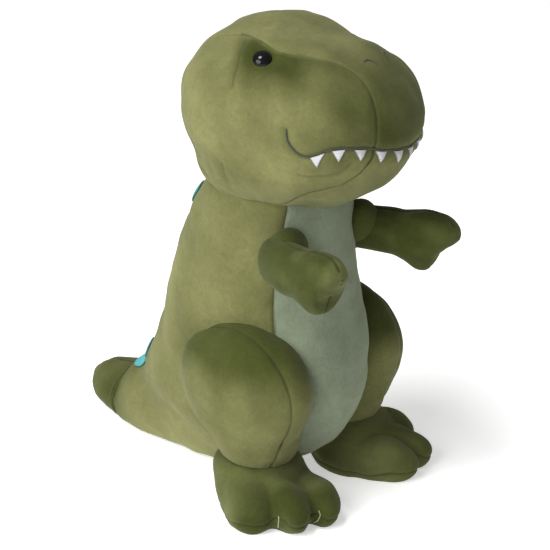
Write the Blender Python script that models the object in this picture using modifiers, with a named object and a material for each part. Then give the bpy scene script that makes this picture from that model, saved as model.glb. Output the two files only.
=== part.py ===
"""A sitting plush dinosaur: fabric panels sewn round stuffing, with a nodding head, swinging arms,
soft hips and ankles and a tail that lifts.

The toy faces -Y and sits on Z = 0. Forms are worked out in millimetres and stored in metres.
The head, thighs and feet are smooth unions of ellipsoids; the body, tail and arms are lofts.
"""

import math

import bmesh
import bpy
import numpy as np
from mathutils import Matrix, Vector

# ---------------------------------------------------------------- driving dimensions, millimetres
MM = 0.001
FORWARD = 27.9          # the forms' Y is measured from the neck; this puts the toy's middle at Y = 0
FABRIC = 1.2            # thickness of a sewn panel with its pile
SEAM_DEGREES = 0.8      # half of the slit between the head's panels, as an angle
SEAM_GAP = 0.45         # half of the slit between two lofted panels
CORE_INSET = 2.8        # how far stuffing lies below the outer surface

# ellipsoids as (centre, radii)
HEAD_CENTRE = (0, -14, 198)
HEAD_SHAPES = [
    ((0, 3, 201), (52, 41, 38.5)),          # skull
    ((0, -30.5, 197.5), (42, 42, 35.2)),    # muzzle
    ((0, -17, 179), (44.5, 43, 26)),        # cheeks and jaw
    ((0, 1, 168), (37, 37, 20)),            # neck
]
HEAD_BLEND = 7.0
HEAD_TURN = 8.0         # the head is sewn on looking this many degrees to the toy's left
# half width of the forehead-and-chin panel, as (angle over the head, half angle)
GUSSET = [(-80, 38), (-60, 43.5), (-48, 43), (-37, 37), (-29, 30.5), (-21, 26), (-12, 23.5), (0, 22.5),
          (15, 21), (28, 21), (43, 25), (55, 29.5), (66, 33.5), (76, 37.5), (88, 39), (97, 36.5),
          (107, 33), (120, 29), (140, 23.5), (160, 22.5), (185, 26), (210, 32), (240, 38)]
NECK_CUT = 158.6        # the head is open below this height
NECK_PIVOT = (0, 0, 156.2)

EYE_SPOT = (95, 47)     # angles over and across the head
EYE_RADIUS = 4.6
EYE_HEIGHT = 2.7
EYE_DEPTH = 1.5         # how far the eye's rim is pulled in below the fabric's surface
EYE_HOLE = 5.3          # hole in the fabric for the eye
WASHER_ROOM = 5.6       # pocket in the stuffing for the washer
SHANK_RADIUS = 1.2
SHANK_LENGTH = 6.5
WASHER_RADIUS = 4.2
MOUTH = [(8, 68), (-1, 68), (-9, 67), (-16, 64), (-20, 59), (-18.5, 54), (-14, 50), (-10, 46), (-7.5, 40),
         (-7, 33), (-7, 28), (-8, 22), (-9, 14), (-9.5, 7), (-10, 0)]
MOUTH_RADIUS = 0.55
TOOTH_ANGLES = [-49, -39.5, -29.2, -19, -9.4, 0, 9.4, 19, 29.2, 39.5, 49]
TOOTH_WIDTH = 6.4
TOOTH_HEIGHT = 6.2
NOSTRIL = [(37.5, 11), (38, 8.5), (36, 6.3), (32.5, 5.8)]

# body and tail: front-or-lower point (y, z), back-or-upper point (y, z), half width
BODY_STATIONS = [
    (-33.8, 153.8, 38.5, 153.8, 34.8),
    (-35, 138, 45, 143, 37.2),
    (-37.5, 118, 54, 124, 41),
    (-41.5, 96, 62, 100, 44),
    (-47, 74, 68, 78, 46),
    (-46.5, 52, 75, 62, 46),
    (-37, 31, 81, 50, 43),
    (-18, 13, 86, 43, 35),
    (14, 0, 90, 38.5, 30),
    (50, -2.5, 95, 35, 29),
    (80, -3, 98, 32, 26),
    (100, -2.5, 101, 29.5, 22.5),
    (113, -0.5, 113.5, 27, 18.5),
    (123, 3.5, 123.5, 24.5, 13.5),
    (130, 9, 130.5, 20, 7),
    (132.5, 13, 132.5, 17, 1),
]
BODY_END = 10.8         # station where the body's panels end
TAIL_START = 11.35      # station where the tail's panels start
TAIL_END = 14.4
BELLY_END = 6.6         # station where the belly panel meets the base panel
BASE_START = 6.68
# half angle of the belly and base panels, as (station, degrees from the front)
BELLY_WIDTH = [(0, 42), (2, 47), (3, 48), (4, 46), (5, 40), (6, 33), (7, 30), (8, 32), (10, 38), (11, 42)]
TAIL_PIVOT = (0, 102.5, 16)
SPOTS = [(0.75, -156, 5.5), (1.9, 163, 6.5), (2.9, -174, 6.5), (3.9, 163, 6), (5.0, -174, 6),
         (6.1, -160, 6), (8.0, -160, 5)]    # station, angle, radius
SPOT_THICK = 0.8
POUCH_CENTRE = (0, 42, 16)
POUCH_RADII = (22, 27, 9.5)

# arm: (along, z) of the lower and of the upper side from the shoulder pivot, half width
SHOULDER = (36, -33.5, 131.7)
ARM_SPREAD = 10.4       # degrees outwards
ARM_DROOP = (0, 5)      # degrees downwards, right and left: the left arm hangs a little
ARM_STATIONS = [
    (-11.5, -1.5, -11.5, 1.5, 1.5),
    (-9, -7.5, -9, 7, 7),
    (-4, -11, -4, 9.8, 10),
    (4, -12.2, 4, 10.3, 10.8),
    (12, -12.4, 12, 10.8, 10.8),
    (19, -14, 20, 12.8, 11),
    (25, -16.3, 28, 14.3, 11),
    (30, -14.5, 34.5, 14, 10),
    (33, -8, 39, 12, 8.5),
    (36.5, -2.5, 42.5, 8, 6),
    (41, 1.5, 43.5, 5, 2),
]

ARM_CORE_INSET = 3.6    # the same as CORE_INSET, for the slanting sections of the hand
ARM_TRIM = 0.75         # share of the end stations that the panels leave open

THIGH_CENTRE = (35, -9, 50)
THIGH_SHAPES = [
    ((36, -8.5, 63), (23, 38, 33.5)),       # haunch
    ((33, -14, 38), (20, 21, 24)),          # shin
]
FORM_BLEND = 8.0
THIGH_SEAM = 12.0       # the outer panel starts this many degrees outwards of the middle
THIGH_SLIT = 0.7        # half of the slit between its panels, in degrees
HIP_GAP = 2.5           # space between the haunch and the body
HEEL_GAP = 4.6          # space between the heel, which swings further, and the body
THIGH_CUT = 28.4        # the leg is open below this height
FOOT_CUT = 23.8         # the foot is open above this height
HIP_PIVOT = (36, -8.5, 62.5)
ANKLE_PIVOT = (33, -14, 26.1)

FOOT_SPLAY = 28.0       # the feet are made facing straight ahead, then turned outwards about the ankle
FOOT_CENTRE = (30, -28, 6)
FOOT_SHAPES = [
    ((30.5, -23, 6), (24.5, 25, 16.5)),     # instep and heel
    ((33, -14, 15), (21, 18.5, 16)),        # ankle
    ((12.5, -41, 8.5), (10.5, 18, 12)),     # inner toe
    ((28.5, -43.5, 8.5), (11, 18.5, 12.5)), # middle toe
    ((45.5, -35.5, 8.5), (11.5, 16, 12)),   # outer toe
]
FOOT_CORE_INSET = 4.6   # the same as CORE_INSET, for the feet's tight curves
SOLE_THICK = 1.5
SOLE_GAP = 0.4
SOLE_POINTS = 32
TOE_VALLEYS = [19.8, 37.2]                  # X of the two stitches between the toes
THREAD_RADIUS = 0.5

COLOURS = {
    "plush": ((0.165, 0.195, 0.075), 0.95),
    "belly": ((0.235, 0.275, 0.19), 0.95),
    "spot": ((0.09, 0.37, 0.37), 0.95),
    "tooth": ((0.75, 0.75, 0.76), 0.5),
    "mouth": ((0.03, 0.032, 0.014), 0.8),
    "thread": ((0.2, 0.24, 0.1), 0.8),
    "eye": ((0.004, 0.004, 0.005), 0.08),
    "washer": ((0.75, 0.75, 0.72), 0.4),
    "stuffing": ((0.85, 0.85, 0.83), 1.0),
    "pouch": ((0.7, 0.68, 0.62), 0.9),
}


# ---------------------------------------------------------------- forms
def smooth_curve(points, at):
    """Catmull-Rom curve through the rows of points, at the row positions given."""
    rows = np.array(points, float)
    first, last = 2 * rows[0] - rows[1], 2 * rows[-1] - rows[-2]
    padded = np.vstack([first, rows, last])
    at = np.clip(np.asarray(at, float), 0, len(rows) - 1)
    index = np.minimum(at.astype(int), len(rows) - 2)
    t = (at - index)[:, None]
    a, b, c, d = (padded[index + k] for k in range(4))
    return 0.5 * (2 * b + (c - a) * t + (2 * a - 5 * b + 4 * c - d) * t**2 + (3 * b - a - 3 * c + d) * t**3)


def through(pairs, x):
    """Smooth value at x of a curve through (x, value) pairs."""
    known = np.array(pairs, float)
    rows = np.interp(x, known[:, 0], np.arange(len(known)))
    return smooth_curve(known[:, 1:2], rows)[:, 0]


def mirrored(point, side):
    return (side * point[0], point[1], point[2])


class Form:
    """A smooth union of ellipsoids, met by a ray from its centre in every direction."""

    def __init__(self, centre, shapes, blend, side=1):
        self.centre = np.array(mirrored(centre, side), float)
        self.shapes = [(np.array(mirrored(c, side), float), np.array(r, float)) for c, r in shapes]
        self.blend = blend

    def inside(self, points):
        total = 0
        for centre, radii in self.shapes:
            size = np.sqrt((((points - centre) / radii) ** 2).sum(1))
            total = total + np.exp(-self.blend * (size - 1))
        return total > 1

    def point(self, directions, lift=0.0):
        near, far = np.zeros(len(directions)), np.full(len(directions), 200.0)
        for _ in range(40):
            middle = (near + far) / 2
            inner = self.inside(self.centre + directions * middle[:, None])
            near, far = np.where(inner, middle, near), np.where(inner, far, middle)
        return self.centre + directions * (near + lift)[:, None]


def direction_over(over, across):
    """Unit vectors from an angle over the top (0 forwards, 90 up) and an angle towards +X."""
    a, b = np.radians(over), np.radians(across)
    return np.stack([np.sin(b) + 0 * a, -np.cos(b) * np.cos(a), np.cos(b) * np.sin(a)], -1)


def loft_point(stations, at, angle, lift=0.0):
    """Points of a loft: station position and angle round the section, 0 at the front or lower side."""
    rows = smooth_curve(stations, at)
    front, back, half_width = rows[:, 0:2], rows[:, 2:4], rows[:, 4]
    middle, half = (front + back) / 2, (front - back) / 2
    length = np.maximum(np.linalg.norm(half, axis=1), 0.1)
    grow_y = np.maximum(1 + lift / length, 0.05)
    grow_x = np.maximum(1 + lift / np.maximum(half_width, 0.1), 0.05)
    a = np.radians(angle)
    x = half_width * grow_x * np.sin(a)
    yz = middle + half * (grow_y * np.cos(a))[:, None]
    return np.stack([x, yz[:, 0], np.maximum(yz[:, 1], max(-lift, 0))], -1)


def slit(stations, at):
    """Half of the slit between two lofted panels as an angle, wider where the loft is thin."""
    return np.degrees(SEAM_GAP / np.maximum(smooth_curve(stations, at)[:, 4], 1.0))


def in_disc(u, v):
    """A square's points moved into the unit disc: distance from the middle and angle in degrees."""
    x, y = u * np.sqrt(1 - v * v / 2), v * np.sqrt(1 - u * u / 2)
    return np.hypot(x, y), np.degrees(np.arctan2(y, x))


# ---------------------------------------------------------------- scene and objects
def clear_scene():
    for obj in list(bpy.data.objects):
        bpy.data.objects.remove(obj, do_unlink=True)


def make_collection(name):
    made = bpy.data.collections.new(name)
    bpy.context.scene.collection.children.link(made)
    return made


def make_materials():
    made = {}
    for name, (colour, roughness) in COLOURS.items():
        material = bpy.data.materials.new(name)
        material.use_nodes = True
        shader = material.node_tree.nodes["Principled BSDF"]
        shader.inputs["Base Color"].default_value = (*colour, 1)
        shader.inputs["Roughness"].default_value = roughness
        shader.inputs["Metallic"].default_value = 0.0
        made[name] = material
    return made


def to_world(point):
    return Vector((point[0] * MM, (point[1] - FORWARD) * MM, point[2] * MM))


def pivot_empty(name, point):
    empty = bpy.data.objects.new(name, None)
    empty.empty_display_size = 0.01
    empty.location = to_world(point)
    PARTS.objects.link(empty)
    return empty


def place(obj, material, pivot):
    """Links a finished object, gives it its material, and hangs it from its pivot."""
    if material is None:
        CUTTERS.objects.link(obj)
        obj.hide_render = True
        obj.display_type = "WIRE"
        return obj
    PARTS.objects.link(obj)
    obj.data.materials.append(MATERIALS[material])
    if pivot is not None:
        obj.parent = pivot
        obj.matrix_parent_inverse = Matrix.Translation(-pivot.location)
    return obj


def object_from(mesh, name, material, pivot, smooth=True):
    data = bpy.data.meshes.new(name)
    mesh.to_mesh(data)
    mesh.free()
    if smooth:
        data.shade_smooth()
    return place(bpy.data.objects.new(name, data), material, pivot)


def move_to(mesh, points):
    for vertex, point in zip(mesh.verts, points):
        vertex.co = to_world(point)


def face_away(mesh, middle):
    """Turns every face round if the sheet's faces point towards the middle."""
    inward = sum((f.calc_center_median() - middle).dot(f.normal) * f.calc_area() for f in mesh.faces)
    if inward < 0:
        bmesh.ops.reverse_faces(mesh, faces=mesh.faces)


def panel(name, surface, columns, rows, middle, material, pivot, thickness=FABRIC):
    """A sheet of fabric on surface(u, v), with u and v from -1 to 1, thickened inwards."""
    mesh = bmesh.new()
    bmesh.ops.create_grid(mesh, x_segments=columns, y_segments=rows, size=1.0)
    flat = np.array([v.co[:2] for v in mesh.verts])
    move_to(mesh, surface(np.clip(flat[:, 0], -1, 1), np.clip(flat[:, 1], -1, 1)))
    mesh.normal_update()
    face_away(mesh, to_world(middle))
    obj = object_from(mesh, name, material, pivot)
    shell = obj.modifiers.new("thickness", "SOLIDIFY")
    shell.thickness = thickness * MM
    shell.offset = -1
    return obj


def filled(name, surface, segments, rings, material, pivot):
    """A closed solid: a UV sphere whose points are moved by surface(unit directions)."""
    mesh = bmesh.new()
    bmesh.ops.create_uvsphere(mesh, u_segments=segments, v_segments=rings, radius=1.0)
    move_to(mesh, surface(np.array([v.co[:] for v in mesh.verts])))
    if mesh.calc_volume(signed=True) < 0:
        bmesh.ops.reverse_faces(mesh, faces=mesh.faces)
    return object_from(mesh, name, material, pivot)


def filled_loft(name, stations, start, end, lift, segments, rings, material, pivot, place_point=None):
    """A closed loft between two stations, with flat ends."""

    def surface(directions):
        height = np.degrees(np.arcsin(np.clip(directions[:, 2], -1, 1)))
        step = 180 / rings
        share = np.clip((height + 90 - step) / (180 - 2 * step), 0, 1)
        angle = np.degrees(np.arctan2(directions[:, 0], directions[:, 1]))
        points = loft_point(stations, start + share * (end - start), angle, lift)
        for pole, at in ((height < -89.9, start), (height > 89.9, end)):
            ring = loft_point(stations, np.full(8, at), np.arange(8) * 45.0, lift)
            points[pole] = ring.mean(0)
        return points if place_point is None else place_point(points)

    return filled(name, surface, segments, rings, material, pivot)


def box_cutter(name, low, high):
    mesh = bmesh.new()
    bmesh.ops.create_cube(mesh, size=1.0)
    low, high = np.array(low, float), np.array(high, float)
    move_to(mesh, [low + (np.array(v.co[:]) + 0.5) * (high - low) for v in mesh.verts])
    bmesh.ops.recalc_face_normals(mesh, faces=mesh.faces)
    return object_from(mesh, name, None, None, smooth=False)


def cut(obj, *cutters):
    for cutter in cutters:
        boolean = obj.modifiers.new("cut_" + cutter.name, "BOOLEAN")
        boolean.operation = "DIFFERENCE"
        boolean.solver = "EXACT"
        boolean.object = cutter


def keep_largest(obj):
    """Applies the modifiers, and drops the crumbs that a cut leaves beside the piece itself."""
    graph = bpy.context.evaluated_depsgraph_get()
    applied = bpy.data.meshes.new_from_object(obj.evaluated_get(graph))
    mesh = bmesh.new()
    mesh.from_mesh(applied)
    waiting, islands = set(mesh.verts), []
    while waiting:
        island, edge = set(), [waiting.pop()]
        while edge:
            vertex = edge.pop()
            island.add(vertex)
            edge += [v for e in vertex.link_edges for v in e.verts if v in waiting]
            waiting.difference_update(edge)
        islands.append(island)
    islands.sort(key=len)
    bmesh.ops.delete(mesh, geom=[v for island in islands[:-1] for v in island], context="VERTS")
    mesh.to_mesh(applied)
    mesh.free()
    obj.modifiers.clear()
    obj.data = applied


def tube(name, points, radius, material, pivot):
    """A thread laid along points, with closed ends."""
    curve = bpy.data.curves.new(name, "CURVE")
    curve.dimensions = "3D"
    curve.bevel_depth = radius * MM
    curve.bevel_resolution = 1
    curve.use_fill_caps = True
    line = curve.splines.new("POLY")
    line.points.add(len(points) - 1)
    for target, point in zip(line.points, points):
        target.co = (*to_world(point), 1)
    return place(bpy.data.objects.new(name, curve), material, pivot)


def flat_plate(name, outline, thickness, material, pivot, frame):
    """A flat piece with the given outline (millimetres), lying in the XY plane of its frame."""
    curve = bpy.data.curves.new(name, "CURVE")
    curve.dimensions = "2D"
    curve.fill_mode = "BOTH"
    curve.extrude = thickness * MM / 2
    line = curve.splines.new("POLY")
    line.points.add(len(outline) - 1)
    for target, (x, y) in zip(line.points, outline):
        target.co = (x * MM, y * MM, 0, 1)
    line.use_cyclic_u = True
    obj = place(bpy.data.objects.new(name, curve), material, pivot)
    obj.matrix_basis = frame
    return obj


def turned(name, profile, steps, material, pivot, frame):
    """A profile of (radius, height) in millimetres, from top to bottom, turned about its Z axis."""
    mesh = bmesh.new()
    points = [mesh.verts.new((r * MM, 0, z * MM)) for r, z in profile]
    for first, second in zip(points, points[1:]):
        mesh.edges.new((first, second))
    if profile[0] == profile[-1]:
        bmesh.ops.remove_doubles(mesh, verts=mesh.verts, dist=1e-7)
    obj = object_from(mesh, name, material, pivot)
    screw = obj.modifiers.new("turn", "SCREW")
    screw.steps = screw.render_steps = steps
    screw.use_merge_vertices = True
    screw.merge_threshold = 1e-5
    obj.matrix_basis = frame
    return obj


def surface_frame(point, normal, upwards):
    """A frame at a point, its Z along the normal and its Y as near as it can be to upwards."""
    z = Vector(normal).normalized()
    x = Vector(upwards).cross(z).normalized()
    y = z.cross(x)
    return Matrix.Translation(to_world(point)) @ Matrix((x, y, z)).transposed().to_4x4()


# ---------------------------------------------------------------- head
HEAD = Form(HEAD_CENTRE, HEAD_SHAPES, HEAD_BLEND)


def turned_head(points):
    """The head's points, turned about the neck."""
    turn = math.radians(HEAD_TURN)
    spin = np.array([[math.cos(turn), math.sin(turn), 0], [-math.sin(turn), math.cos(turn), 0], [0, 0, 1]])
    return np.asarray(points, float) @ spin


def head_point(over, across, lift=0.0):
    over, across = np.broadcast_arrays(np.atleast_1d(over), np.atleast_1d(across))
    return turned_head(HEAD.point(direction_over(over, across), lift))


def head_normal(over, across):
    step = 1.0
    a, b = head_point(over - step, across)[0], head_point(over + step, across)[0]
    c, d = head_point(over, across - step)[0], head_point(over, across + step)[0]
    normal = np.cross(b - a, d - c)
    outward = head_point(over, across)[0] - turned_head(HEAD_CENTRE)
    return normal * (1 if normal @ outward > 0 else -1)


def head_frame(over, across, lift):
    """A frame on the head's surface, its Z outwards, lifted by some millimetres."""
    normal = head_normal(over, across)
    normal = normal / np.linalg.norm(normal)
    return surface_frame(head_point(over, across)[0] + normal * lift, normal, (0, 0, 1))


def gusset_surface(u, v):
    over = GUSSET[0][0] + (u + 1) / 2 * (GUSSET[-1][0] - GUSSET[0][0])
    return head_point(over, v * (through(GUSSET, over) - SEAM_DEGREES))


def cheek_surface(side):
    def surface(u, v):
        distance, over = in_disc(u, v)
        wrapped = np.where(over < GUSSET[0][0], over + 360, over)
        edge = 90 - through(GUSSET, wrapped) - SEAM_DEGREES
        return head_point(over, side * (90 - distance * edge))

    return surface


def make_head(pivot):
    below_neck = box_cutter("neck_cutter", (-80, -90, 90), (80, 90, NECK_CUT))
    middle = turned_head(HEAD_CENTRE)
    centre = panel("head_center_panel", gusset_surface, 36, 8, middle, "plush", pivot)
    cut(centre, below_neck)
    core = filled("head_stuffing", lambda d: turned_head(HEAD.point(d, -CORE_INSET)), 20, 10,
                  "stuffing", pivot)
    cut(core, below_neck)
    over, across = EYE_SPOT
    for side, word in ((-1, "right"), (1, "left")):
        frame = head_frame(over, side * across, -EYE_DEPTH)
        through_fabric = [(0, 4), (EYE_HOLE, 4), (EYE_HOLE, -4), (0, -4)]
        hole = turned("eye_hole_" + word, through_fabric, 14, None, None, frame)
        round_washer = [(0, 4), (WASHER_ROOM, 4), (WASHER_ROOM, -9), (0, -9)]
        pocket = turned("washer_pocket_" + word, round_washer, 12, None, None, frame)
        cheek = panel("head_side_panel_" + word, cheek_surface(side), 14, 14, middle, "plush", pivot)
        cut(cheek, below_neck, hole)
        cut(core, pocket)
        dome = [(EYE_RADIUS * math.sin(t), EYE_HEIGHT * math.cos(t))
                for t in np.radians([0, 18, 36, 54, 72, 90])]
        shank = [(EYE_RADIUS, -0.1), (SHANK_RADIUS, -0.1),
                 (SHANK_RADIUS, -SHANK_LENGTH), (0, -SHANK_LENGTH)]
        turned("eye_" + word, dome + shank, 14, "eye", pivot, frame)
        ring = [(SHANK_RADIUS + 0.3, -3.2), (WASHER_RADIUS, -3.2), (WASHER_RADIUS, -4.2),
                (SHANK_RADIUS + 0.3, -4.2), (SHANK_RADIUS + 0.3, -3.2)]
        turned("eye_washer_" + word, ring, 12, "washer", pivot, frame)
        arc = smooth_curve(NOSTRIL, np.linspace(0, len(NOSTRIL) - 1, 6))
        tube("nostril_" + word, head_point(arc[:, 0], side * arc[:, 1], 0.9), MOUTH_RADIUS, "mouth", pivot)


def make_mouth(pivot):
    route = MOUTH + [(over, -across) for over, across in reversed(MOUTH[:-1])]
    line = smooth_curve(route, np.linspace(0, len(route) - 1, 40))
    tube("mouth_line", head_point(line[:, 0], line[:, 1], 1.0), MOUTH_RADIUS, "mouth", pivot)
    outline = [(-TOOTH_WIDTH / 2, 0), (0, -TOOTH_HEIGHT), (TOOTH_WIDTH / 2, 0)]
    heights = sorted((across, over) for over, across in route)
    for number, across in enumerate(TOOTH_ANGLES, 1):
        over = through(heights, across + np.array((-4, 0, 4))).min()
        lip = head_point(over, across)[0] - np.array((0, 0, MOUTH_RADIUS + 0.9))
        normal = head_normal(over - 5, across)
        normal = normal / np.linalg.norm(normal)
        frame = surface_frame(lip + normal * 0.8, normal, (0, 0, 1))
        flat_plate(f"tooth_{number}", outline, 0.5, "tooth", pivot, frame)


# ---------------------------------------------------------------- body and tail
def body_surface(start, end, low_angle, high_angle, lift=0.0):
    """Panel surface between two stations and two edges, each edge a function of the station."""

    def surface(u, v):
        at = start + (v + 1) / 2 * (end - start)
        low, high = low_angle(at), high_angle(at)
        return loft_point(BODY_STATIONS, at, low + (u + 1) / 2 * (high - low), lift)

    return surface


def belly_edge(at):
    return through(BELLY_WIDTH, at)


def make_body():
    middle = (0, 20, 60)

    def inner_edge(sign):
        return lambda at: sign * (belly_edge(at) - slit(BODY_STATIONS, at))

    def outer_edge(sign):
        return lambda at: sign * (belly_edge(at) + slit(BODY_STATIONS, at))

    def back_edge(sign):
        return lambda at: sign * (180 - slit(BODY_STATIONS, at))

    panel("belly_panel", body_surface(0, BELLY_END, inner_edge(-1), inner_edge(1)), 6, 12, middle,
          "belly", None)
    panel("base_panel", body_surface(BASE_START, BODY_END, inner_edge(-1), inner_edge(1)), 5, 7,
          (0, 40, 25), "plush", None)
    for side, word in ((-1, "right"), (1, "left")):
        surface = body_surface(0, BODY_END, outer_edge(side), back_edge(side))
        panel("body_side_panel_" + word, surface, 8, 17, middle, "plush", None)
    core = filled_loft("body_stuffing", BODY_STATIONS, 0.15, BODY_END - 0.15, -CORE_INSET - 0.5, 20, 14,
                       "stuffing", None)
    centre, radii = np.array(POUCH_CENTRE, float), np.array(POUCH_RADII, float)
    filled("pellet_pouch", lambda d: centre + d * radii, 14, 7, "pouch", None)
    room = filled("pouch_room", lambda d: centre + (0, 0, -3) + d * (radii + (3, 3, 6.5)), 16, 8, None, None)
    cut(core, room)


def make_spots():
    for number, (at, angle, radius) in enumerate(SPOTS, 1):
        here = loft_point(BODY_STATIONS, np.array([at, at + 0.1, at]),
                          np.array([angle, angle, angle + 1.0]))
        per_station = np.linalg.norm(here[1] - here[0]) / 0.1
        per_degree = np.linalg.norm(here[2] - here[0])

        def surface(u, v, at=at, angle=angle, radius=radius, a=per_station, b=per_degree):
            distance, turn = in_disc(u, v)
            x, y = distance * np.cos(np.radians(turn)), distance * np.sin(np.radians(turn))
            return loft_point(BODY_STATIONS, at + 1.15 * radius * y / a, angle + radius * x / b,
                              0.5 + SPOT_THICK)

        panel(f"back_spot_{number}", surface, 3, 3, (0, 20, 60), "spot", None, SPOT_THICK)


def make_tail(pivot):
    for side, word in ((-1, "right"), (1, "left")):
        surface = body_surface(TAIL_START, TAIL_END, lambda at, s=side: s * slit(BODY_STATIONS, at),
                               lambda at, s=side: s * (180 - slit(BODY_STATIONS, at)))
        panel("tail_panel_" + word, surface, 7, 6, (0, 110, 16), "plush", pivot)
    filled_loft("tail_stuffing", BODY_STATIONS, TAIL_START, TAIL_END - 1.3, -CORE_INSET, 16, 8,
                "stuffing", pivot)


# ---------------------------------------------------------------- arms
def arm_placer(side):
    """Turns loft points (x across, y along, z up from the shoulder) into the arm's place."""
    spread, droop = math.radians(ARM_SPREAD), math.radians(ARM_DROOP[side > 0])
    level = np.array((side * math.sin(spread), -math.cos(spread), 0))
    upright = np.array((0, 0, 1))
    along = math.cos(droop) * level - math.sin(droop) * upright
    raised = math.sin(droop) * level + math.cos(droop) * upright
    across = np.array((math.cos(spread), side * math.sin(spread), 0))
    shoulder = np.array(mirrored(SHOULDER, side), float)

    def put(points):
        aside, forward, up = points[:, 0:1], points[:, 1:2], points[:, 2:3]
        return shoulder + aside * across + forward * along + up * raised

    return put


def arm_point(side, at, angle, lift=0.0):
    raised = [(a, b + 50, c, d + 50, w) for a, b, c, d, w in ARM_STATIONS]
    return arm_placer(side)(loft_point(raised, at, angle, lift) - np.array((0, 0, 50)))


def make_arm(side, word, pivot):
    last = len(ARM_STATIONS) - 1
    for label, turn in (("outer", 1), ("inner", -1)):
        def surface(u, v, turn=turn):
            at = ARM_TRIM + (v + 1) / 2 * (last - 2 * ARM_TRIM)
            low = 1.4 * slit(ARM_STATIONS, at)
            return arm_point(side, at, side * turn * (low + (u + 1) / 2 * (180 - 2 * low)))

        middle = arm_placer(side)(np.array([[0.0, 18.0, 0.0]]))[0]
        panel(f"arm_{label}_panel_{word}", surface, 5, 10, middle, "plush", pivot)

    raised = [(a, b + 50, c, d + 50, w) for a, b, c, d, w in ARM_STATIONS]
    put = arm_placer(side)
    filled_loft("arm_stuffing_" + word, raised, 1.2, last - 3.0, -ARM_CORE_INSET, 12, 8, "stuffing", pivot,
                lambda points: put(points - np.array((0, 0, 50))))


# ---------------------------------------------------------------- legs and feet
def make_leg(side, word, hip, body_room, leg_floor):
    form = Form(THIGH_CENTRE, THIGH_SHAPES, FORM_BLEND, side)

    def cap(pole, reach):
        def surface(u, v):
            distance, over = in_disc(u, v)
            return form.point(direction_over(over, pole * (90 - distance * reach)))

        return surface

    outer = panel("thigh_outer_panel_" + word, cap(side, 90 - THIGH_SEAM - THIGH_SLIT), 9, 9,
                  form.centre, "plush", hip)
    inner = panel("thigh_inner_panel_" + word, cap(-side, 90 + THIGH_SEAM - THIGH_SLIT), 11, 11,
                  form.centre, "plush", hip)
    core = filled("thigh_stuffing_" + word, lambda d: form.point(d, -CORE_INSET), 16, 10, "stuffing", hip)
    for obj in (outer, inner, core):
        cut(obj, body_room, leg_floor)
        keep_largest(obj)


def foot_outline(form, height):
    """The foot's outline at a height, as points round its centre."""
    angles = np.radians(np.arange(SOLE_POINTS) * 360 / SOLE_POINTS)
    flat = np.stack([np.cos(angles), np.sin(angles), 0 * angles], -1)
    near, far = np.zeros(SOLE_POINTS), np.full(SOLE_POINTS, 80.0)
    start = np.array((form.centre[0], form.centre[1], height))
    for _ in range(40):
        middle = (near + far) / 2
        inner = form.inside(start + flat * middle[:, None])
        near, far = np.where(inner, middle, near), np.where(inner, far, middle)
    return start + flat * near[:, None]


def splayed(points, side):
    """A foot's points, turned outwards about the ankle."""
    turn = side * math.radians(FOOT_SPLAY)
    spin = np.array([[math.cos(turn), math.sin(turn), 0], [-math.sin(turn), math.cos(turn), 0], [0, 0, 1]])
    ankle = np.array(mirrored(ANKLE_PIVOT, side))
    return ankle + (points - ankle) @ spin


def make_foot(side, word, ankle, above_ankle, below_sole, below_core, body_room):
    form = Form(FOOT_CENTRE, FOOT_SHAPES, FORM_BLEND, side)
    upper = filled("foot_upper_" + word, lambda d: splayed(form.point(d), side), 30, 11, "plush", ankle)
    hollow = filled("foot_hollow_" + word, lambda d: splayed(form.point(d, -FABRIC), side), 30, 11,
                    None, None)
    cut(upper, above_ankle, hollow, below_sole, body_room)
    core = filled("foot_stuffing_" + word, lambda d: splayed(form.point(d, -FOOT_CORE_INSET), side), 20, 8,
                  "stuffing", ankle)
    cut(core, above_ankle, below_core, body_room)
    outline = splayed(foot_outline(form, SOLE_THICK), side)[:, :2] - np.array((0, FORWARD))
    frame = Matrix.Translation(Vector((0, 0, SOLE_THICK * MM / 2)))
    flat_plate("foot_sole_" + word, outline, SOLE_THICK, "plush", ankle, frame)
    for number, x in enumerate(TOE_VALLEYS, 1):
        steep = np.radians(np.linspace(38, 6, 7))
        aside = math.atan2(side * x - form.centre[0], 24)
        level = np.cos(steep)
        directions = np.stack([level * math.sin(aside), -level * math.cos(aside), np.sin(steep)], -1)
        route = splayed(form.point(directions, 1.5), side)
        tube(f"toe_stitch_{number}_{word}", route, THREAD_RADIUS, "thread", ankle)


# ---------------------------------------------------------------- assembly
clear_scene()
PARTS = make_collection("stuffed_dinosaur")
CUTTERS = make_collection("cutters")
MATERIALS = make_materials()

neck = pivot_empty("neck_pivot", NECK_PIVOT)
make_head(neck)
make_mouth(neck)
make_body()
make_spots()
make_tail(pivot_empty("tail_pivot", TAIL_PIVOT))

hip_room = filled_loft("hip_room", BODY_STATIONS, 0, 12, HIP_GAP, 32, 24, None, None)
foot_room = filled_loft("foot_room", BODY_STATIONS, 0, 12, HEEL_GAP, 32, 24, None, None)
leg_bottom = box_cutter("leg_bottom", (-90, -90, -20), (90, 60, THIGH_CUT))
foot_top = box_cutter("foot_top", (-90, -90, FOOT_CUT), (90, 60, 60))
sole_room = box_cutter("sole_room", (-90, -90, -30), (90, 60, SOLE_THICK + SOLE_GAP))
core_floor = box_cutter("core_floor", (-90, -90, -30), (90, 60, SOLE_THICK + 2 * SOLE_GAP))
for side_sign, side_word in ((-1, "right"), (1, "left")):
    make_arm(side_sign, side_word, pivot_empty("shoulder_pivot_" + side_word, mirrored(SHOULDER, side_sign)))
    hip_pivot = pivot_empty("hip_pivot_" + side_word, mirrored(HIP_PIVOT, side_sign))
    make_leg(side_sign, side_word, hip_pivot, hip_room, leg_bottom)
    ankle_pivot = pivot_empty("ankle_pivot_" + side_word, mirrored(ANKLE_PIVOT, side_sign))
    make_foot(side_sign, side_word, ankle_pivot, foot_top, sole_room, core_floor, foot_room)
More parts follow.
